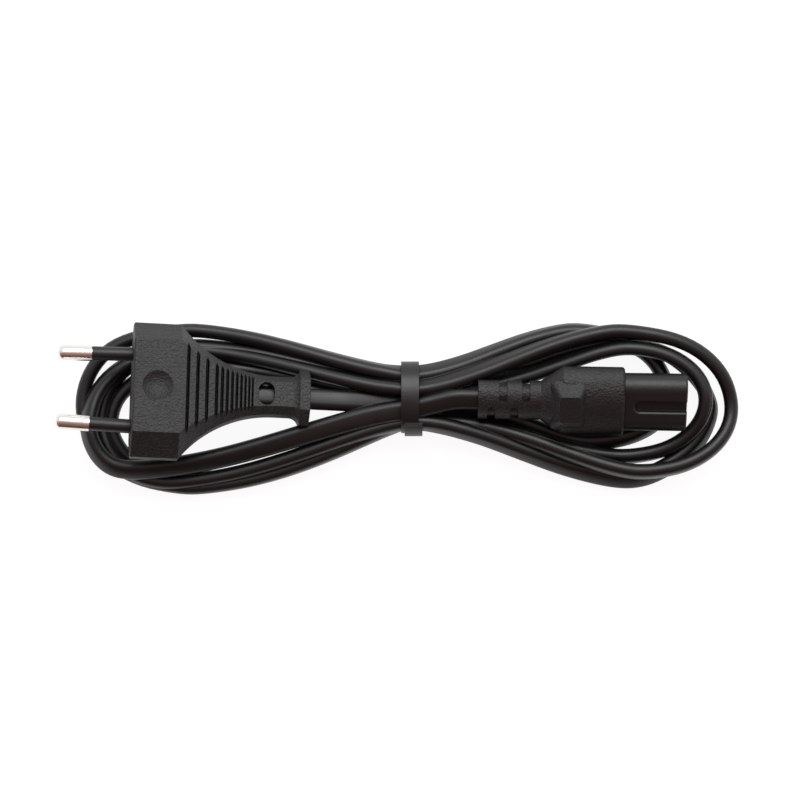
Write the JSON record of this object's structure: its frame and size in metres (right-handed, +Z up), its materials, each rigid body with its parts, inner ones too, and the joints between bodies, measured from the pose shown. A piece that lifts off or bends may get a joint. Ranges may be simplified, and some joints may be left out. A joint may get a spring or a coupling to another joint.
{
  "type": "power cord",
  "caption": "Black flat mains cord folded into a tied hank, with a two-pin plug at one end and a figure-eight appliance connector at the other.",
  "frame": {"origin": "on the floor, under the middle of the whole object's box", "axes": "+X along the hank from the plug to the connector, +Z up"},
  "size_m": [0.1752, 0.045, 0.0265],
  "materials": {
    "moulding": "fine spark-eroded grain, soft PVC",
    "cord": "satin extruded PVC",
    "sleeve": "smooth satin nylon",
    "insert": "smooth satin, hard",
    "band": "satin flat band",
    "bridge": "hard, unpolished",
    "pin_metal": "bright nickel plate on brass",
    "contact_metal": "rolled, bright",
    "copper": "bare stranded copper",
    "core_brown": "smooth PVC insulation",
    "core_blue": "smooth PVC insulation"
  },
  "bodies": {
    "root": {"connector_body": "moulding", "connector_core_blue": "core_blue", "connector_core_brown": "core_brown", "connector_insert": "insert", "connector_lead": "cord", "connector_strands_blue": "copper", "connector_strands_brown": "copper", "contact_lower": "contact_metal", "contact_upper": "contact_metal", "cord_hank": "cord", "pin_bridge": "bridge", "pin_lower": "pin_metal", "pin_upper": "pin_metal", "plug_body": "moulding", "plug_core_blue": "core_blue", "plug_core_brown": "core_brown", "plug_lead": "cord", "plug_strands_blue": "copper", "plug_strands_brown": "copper", "sleeve_lower": "sleeve", "sleeve_upper": "sleeve", "tie_band": "band"}
  },
  "joints": []
}
